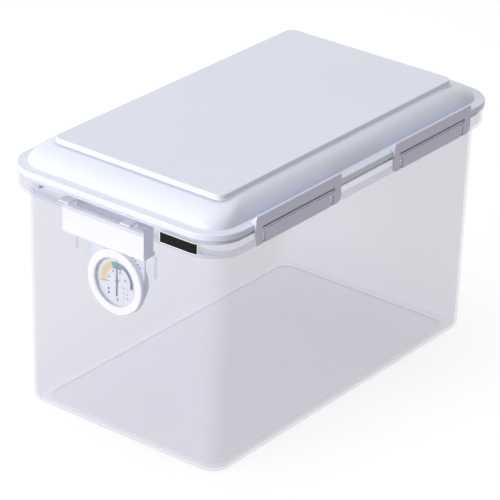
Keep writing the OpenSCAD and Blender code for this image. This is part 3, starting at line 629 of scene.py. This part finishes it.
def dial_point(u, v, w):
    """A point by its place across and up the dial, and how far it stands out to the front."""
    return GAUGE[0] + u, GAUGE[1] - w, GAUGE[2] + v


def print_point(u, v, end):
    """A point on the under side (end 0) or upper side (end 1) of the dial's print."""
    return dial_point(u, v, -DIAL_SINK - PRINT_SINK + end * PRINT_T)


def clock(angle, r):
    """A point on the dial, by its angle from 12 o'clock and its distance."""
    a = math.radians(angle)
    return r * math.sin(a), r * math.cos(a)


def dial_band(name, mat, start, end, inner):
    """A coloured band of the scale, between two angles from 12 o'clock."""
    verts, faces = [], []
    steps = max(4, int((end - start) / 3))
    edges = ((inner, 0), (BAND_R, 0), (BAND_R, 1), (inner, 1))
    angles = [start + (end - start) * i / steps for i in range(steps + 1)]
    add_strip(verts, faces, [[print_point(*clock(a, r), w) for r, w in edges] for a in angles])
    return piece(name, verts, faces, mat, "tub", weighted=False)


def dial_marks():
    """Ticks, dots and squares printed on the dial card."""
    verts, faces = [], []

    def mark(angle, r1, r2, half):
        u1, v1 = clock(angle, r1)
        u2, v2 = clock(angle, r2)
        du, dv = clock(angle + 90, half)
        outline = [(u1 - du, v1 - dv), (u1 + du, v1 + dv), (u2 + du, v2 + dv), (u2 - du, v2 - dv)]
        add_prism(verts, faces, outline, print_point)

    half_ticks, long_every, gap = 20, 5, 0.3
    for k in range(2 * half_ticks + 1):
        length, half = (1.8, 0.16) if k % long_every == 0 else (1.1, 0.09)
        mark(SCALE_END * (k / half_ticks - 1), BAND_R + gap, BAND_R + length, half)
    # line at the scale's start, dots on the dry band, squares as (middle, half side)
    line_before, line_from, line_half = 2, 9.5, 0.3
    mark(-SCALE_END - line_before, line_from, BAND_R, line_half)
    dot_at, dot_r = 17, 0.6
    for a in (-75, -62, -49, -36):
        add_prism(verts, faces, arc(*clock(a, dot_at), dot_r, 0, 345, 8)[:-1], print_point)
    for x, y, half in ((-10.7, -10.9, 1.15), (-10.7, -15.3, 1.15), (3, 1.4, 0.6)):
        outline = [(x - half, y - half), (x + half, y - half),
                   (x + half, y + half), (x - half, y + half)]
        add_prism(verts, faces, outline, print_point)
    return piece("dial_marks", verts, faces, INK_AND_SHADE, "tub", weighted=False)


def dial_number(name, text, u, v, size):
    """Printed number on the dial card."""
    half_thick, bolder, lift = 0.02, 0.09, 0.01
    curve = bpy.data.curves.new(name, "FONT")
    curve.body = text
    curve.size = size * MM
    curve.extrude = half_thick * MM
    curve.offset = bolder * MM
    curve.align_x = "CENTER"
    curve.align_y = "CENTER"
    curve.resolution_u = 3
    obj = link(name, curve)
    x, y, z = dial_point(u, v, -DIAL_SINK + lift)
    upright = Matrix.Rotation(math.radians(90), 4, "X")
    obj.matrix_world = Matrix.Translation((x * MM, y * MM, z * MM)) @ upright
    bpy.context.view_layer.update()
    evaluated = obj.evaluated_get(bpy.context.evaluated_depsgraph_get())
    mesh = bpy.data.meshes.new_from_object(evaluated)
    mesh.transform(obj.matrix_world.copy())
    bpy.data.objects.remove(obj)
    mesh.name = name
    mesh.materials.clear()
    mesh.materials.append(INK_AND_SHADE)
    out = link(name, mesh)
    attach(out, "tub")
    return out


def dial_numbers():
    """Numbers of the scale, small digits at the lower right and the unit at the bottom."""
    first, apart, number_r, number_h = -80, 50, 11, 2.6
    for k, text in enumerate(("20", "40", "60", "80")):
        dial_number("number_" + text, text, *clock(first + apart * k, number_r), number_h)
    col_u, col_step, row_v, row_step, digit_h = 8.8, 4.6, -5.6, 4.7, 3
    for i in range(6):
        row, col = divmod(i, 2)
        u, v = col_u + col_step * col, row_v - row_step * row
        dial_number("digit_" + str(i), str(i), u, v, digit_h)
    dial_number("unit_mark", "%", 0.6, -20.2, 3.6)


def hanger_dots():
    """Painted shade: dark discs set in the four small holes of the plate that carries the gauge.
    """
    shade_r, shade_back, shade_t = 1.06, -1.3, 0.9
    verts, faces = [], []

    def place(u, v, end):
        return dial_point(u, v, shade_back + end * shade_t)

    for i in range(DOTS):
        a = math.radians(DOT_FIRST + DOT_STEP * i)
        # each disc sits inside its hole and paints the hole's shade dark
        shade_disc = arc(DOT_RING * math.cos(a), DOT_RING * math.sin(a), shade_r, 0, 345, 24)[:-1]
        add_prism(verts, faces, shade_disc, place)
    return piece("hanger_dots", verts, faces, INK_AND_SHADE, "tub", weighted=False)


tub()
lid()
pouches = [pouch("pouch_left", CASE_X - POUCH_X, 3.1), pouch("pouch_right", CASE_X + POUCH_X, 8.4)]
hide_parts("silica_pouches")
label_line()
dial_band("band_dry", YELLOW, -SCALE_END, -BAND_END, WIDE_BAND_R)
dial_band("band_safe", TEAL, -BAND_END, BAND_END, WIDE_BAND_R)
dial_band("band_damp", NAVY, BAND_END, SCALE_END, SLIM_BAND_R)
dial_marks()
dial_numbers()
hanger_dots()


# ---------- floor, light and camera ----------

def seen(tree):
    """Output that is 1 where the camera sees a thing itself, in gloss or through clear plastic."""
    rays = tree.nodes.new("ShaderNodeLightPath")
    out = rays.outputs["Is Camera Ray"]
    for kind in ("Is Glossy Ray", "Is Transmission Ray"):
        either = tree.nodes.new("ShaderNodeMath")
        either.operation = "MAXIMUM"
        tree.links.new(out, either.inputs[0])
        tree.links.new(rays.outputs[kind], either.inputs[1])
        out = either.outputs[0]
    return out


def backdrop():
    """Plain pale floor, white to the eye, which keeps the box's shadow."""
    grey, glow_level, half_size = 0.5, 0.62, 9
    mat = bpy.data.materials.new("floor_white")
    mat.use_nodes = True
    tree = mat.node_tree
    shader = tree.nodes["Principled BSDF"]
    socket(shader, "Base Color", (grey, grey, grey, 1))
    socket(shader, "Roughness", 0.9)
    socket(shader, "Specular IOR Level", 0.1)
    in_sight = seen(tree)
    glow = tree.nodes.new("ShaderNodeMath")
    glow.operation = "MULTIPLY"
    glow.inputs[1].default_value = glow_level
    tree.links.new(in_sight, glow.inputs[0])
    socket(shader, "Emission Color", (1, 1, 1, 1))
    tree.links.new(glow.outputs[0], shader.inputs["Emission Strength"])
    mesh = bpy.data.meshes.new("floor")
    corners = [(x * half_size, y * half_size, 0) for x, y in ((-1, -1), (1, -1), (1, 1), (-1, 1))]
    mesh.from_pydata(corners, [], [(0, 1, 2, 3)])
    mesh.materials.append(mat)
    obj = link("floor", mesh)


def world(ambient):
    """White to the eye, and a plain even light of the given strength on the box."""
    sky = bpy.data.worlds.new("studio")
    sky.use_nodes = True
    tree = sky.node_tree
    back = tree.nodes["Background"]
    socket(back, "Color", (1, 1, 1, 1))
    in_sight = seen(tree)
    level = tree.nodes.new("ShaderNodeMapRange")
    socket(level, "To Min", ambient)
    socket(level, "To Max", 1.0)
    tree.links.new(in_sight, level.inputs["Value"])
    tree.links.new(level.outputs["Result"], back.inputs["Strength"])
    bpy.context.scene.world = sky


def lamp(name, place, aim, size, power):
    """A soft rectangular lamp, in metres and watts."""
    data = bpy.data.lights.new(name, "AREA")
    data.shape = "RECTANGLE"
    data.size, data.size_y = size
    data.energy = power
    obj = link(name, data)
    obj.location = place
    obj.rotation_euler = (Vector(aim) - Vector(place)).to_track_quat("-Z", "Y").to_euler()


def camera():
    """Long lens, aimed as the picture of the box was taken; distances in mm, angles in degrees."""
    az, el, roll = (math.radians(a) for a in (37.44186, 26.15400, 1.61176))
    aim_z, distance, shift_right, shift_up = 128.8, 2855.032, -4.5196, -0.7113
    back = Vector((math.sin(az) * math.cos(el), -math.cos(az) * math.cos(el), math.sin(el)))
    level_right = Vector((math.cos(az), math.sin(az), 0))
    level_up = back.cross(level_right)
    right = level_right * math.cos(roll) + level_up * math.sin(roll)
    up = level_up * math.cos(roll) - level_right * math.sin(roll)
    place = (Vector((0, 0, aim_z)) + back * distance + right * shift_right + up * shift_up) * MM
    data = bpy.data.cameras.new("camera")
    data.sensor_width = 36
    data.lens = 198.712
    data.clip_start, data.clip_end = 0.05, 100
    obj = link("camera", data)
    obj.matrix_world = Matrix.Translation(place) @ Matrix((right, up, back)).transposed().to_4x4()
    bpy.context.scene.camera = obj


backdrop()
world(0.4)
lamp("key", (-0.9, -2.8, 0.9), (0, 0, 0.15), (1.6, 1.2), 68)
lamp("top", (-0.3, 0.2, 2.6), (0, 0, 0.2), (2.2, 2.2), 23)
camera()
bpy.context.scene.view_settings.view_transform = "Standard"
